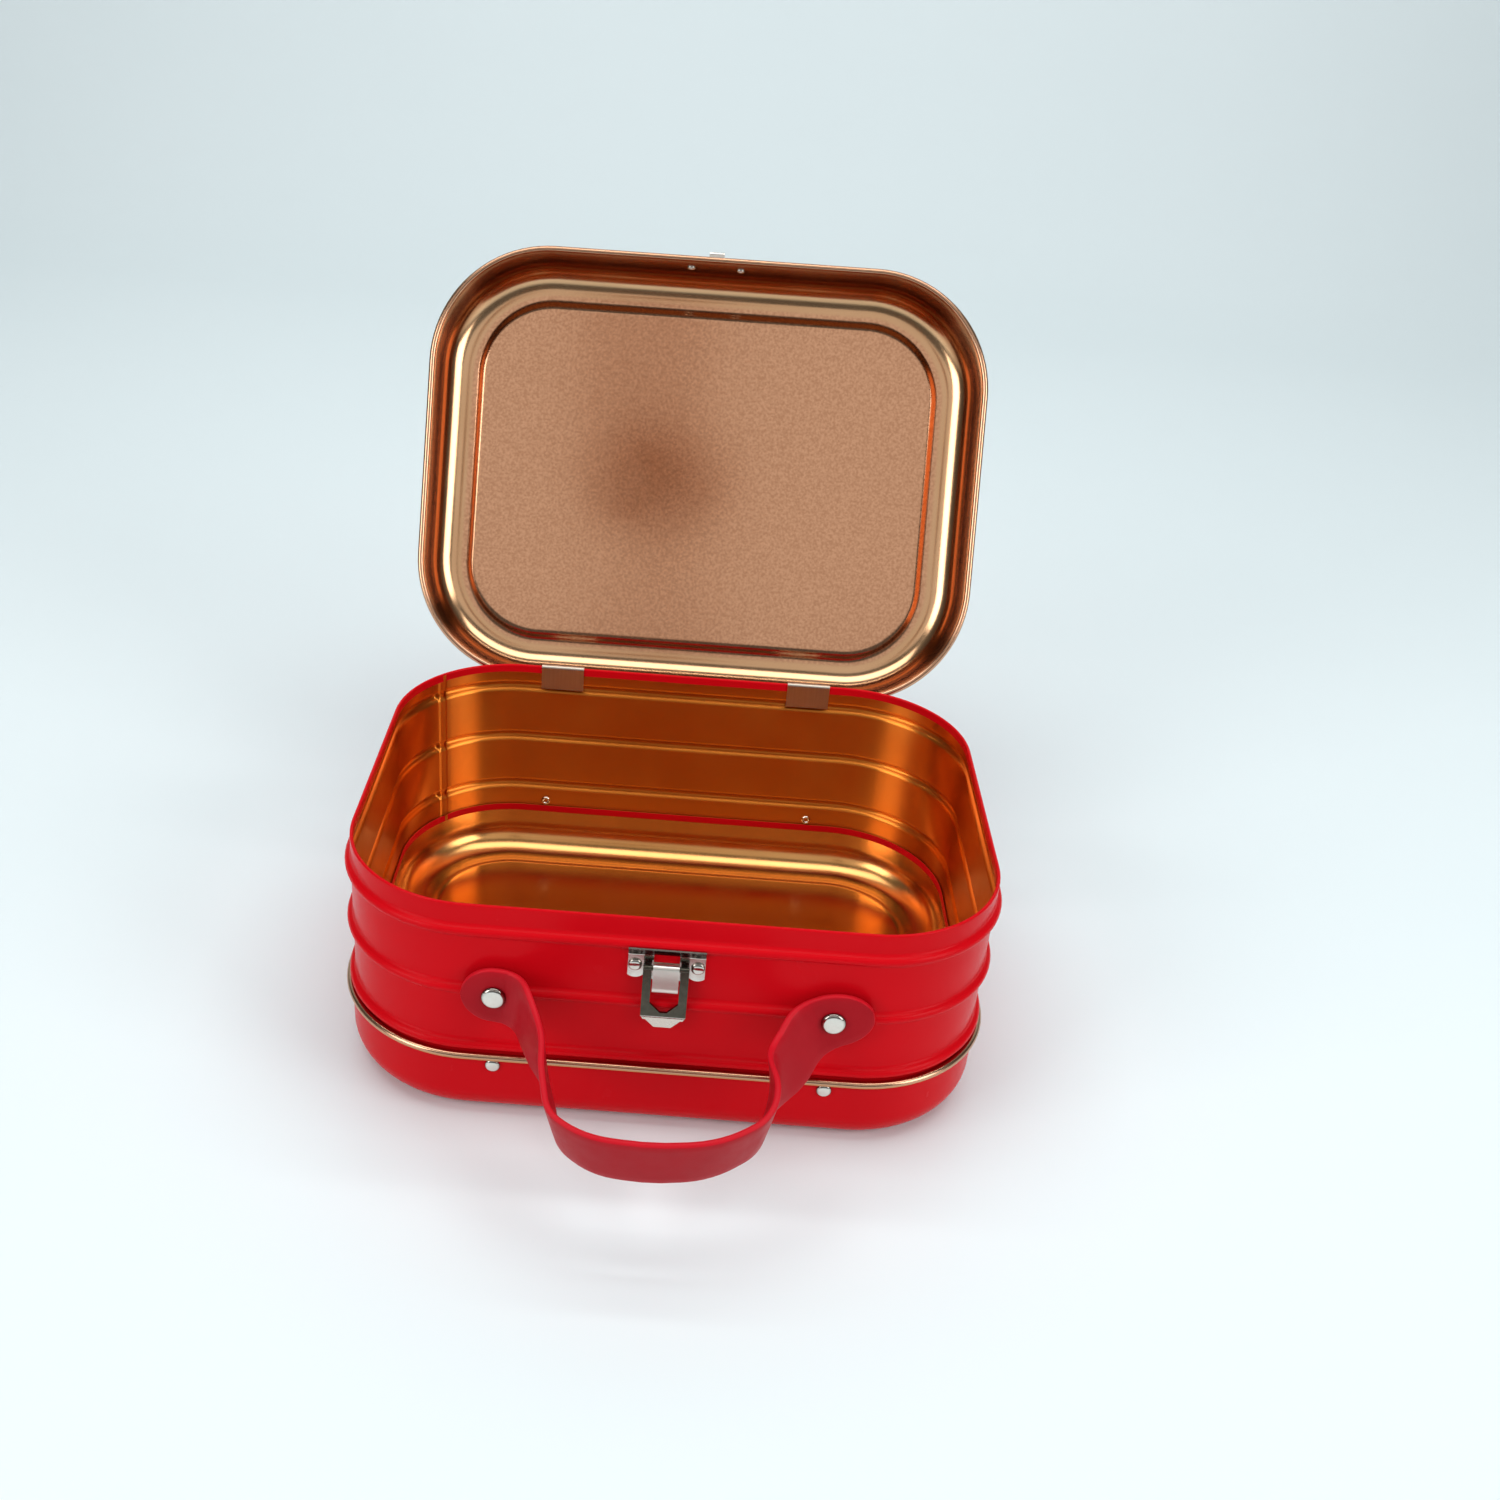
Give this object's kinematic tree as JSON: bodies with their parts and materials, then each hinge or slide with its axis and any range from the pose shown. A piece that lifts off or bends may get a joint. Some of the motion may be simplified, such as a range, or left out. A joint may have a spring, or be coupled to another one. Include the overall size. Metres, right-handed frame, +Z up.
{
  "type": "lunch box",
  "caption": "Rounded metal lunch box with a beaded side wall, pressed bottom pan, hinged lid, hasp latch on the front and a flexible strap handle.",
  "frame": {"origin": "centre of the plane that the box stands on, under the middle of the side wall", "axes": "+Z up, +Y to the rear where the hinges are, +X to the right of someone facing the latch"},
  "size_m": [0.2058, 0.2987, 0.2152],
  "materials": {
    "red_lacquer": "semi-gloss red lacquer on tinplate",
    "gold_lacquer": "glossy gold-copper lacquer inside the tin",
    "nickel_plate": "polished nickel plate",
    "strap_pu": "smooth red PU strap"
  },
  "bodies": {
    "box": {"side_wall": "red_lacquer", "bottom_pan": "red_lacquer", "latch_base_plate": "nickel_plate", "latch_spring_tongue": "nickel_plate", "hinge_body_leaf_left": "nickel_plate", "hinge_body_leaf_right": "nickel_plate", "hinge_pin_left": "nickel_plate", "hinge_pin_right": "nickel_plate", "latch_rivet_left": "nickel_plate", "latch_rivet_right": "nickel_plate", "handle_strap_end_left": "strap_pu", "handle_strap_end_right": "strap_pu", "handle_rivet_left": "nickel_plate", "handle_rivet_right": "nickel_plate", "handle_rivet_washer_left": "nickel_plate", "handle_rivet_washer_right": "nickel_plate", "pan_rivet_front_left": "nickel_plate", "pan_rivet_front_right": "nickel_plate", "pan_rivet_rear_left": "nickel_plate", "pan_rivet_rear_right": "nickel_plate"},
    "lid": {"lid_shell": "red_lacquer", "lid_catch": "nickel_plate", "hinge_lid_leaf_left": "nickel_plate", "hinge_lid_leaf_right": "nickel_plate", "catch_rivet_left": "nickel_plate", "catch_rivet_right": "nickel_plate"},
    "hasp": {"latch_hasp": "nickel_plate"},
    "handle": {"handle_strap": "strap_pu"}
  },
  "joints": [
    {"name": "lid_hinge", "type": "hinge", "parent": "box", "child": "lid", "pos_m": [0, 0.07925, 0.0719], "axis": [1, 0, 0], "range_deg": [0, 115.5]},
    {"name": "hasp_hinge", "type": "hinge", "parent": "box", "child": "hasp", "pos_m": [0, -0.0792, 0.0642], "axis": [-1, 0, 0], "range_deg": [0, 174]},
    {"name": "handle_swing", "type": "hinge", "parent": "box", "child": "handle", "pos_m": [0, -0.0792, 0.0498], "axis": [-1, 0, 0], "range_deg": [-28, 60], "stiffness_Nm_per_rad": 0.03, "springref_deg": 2.86}
  ]
}
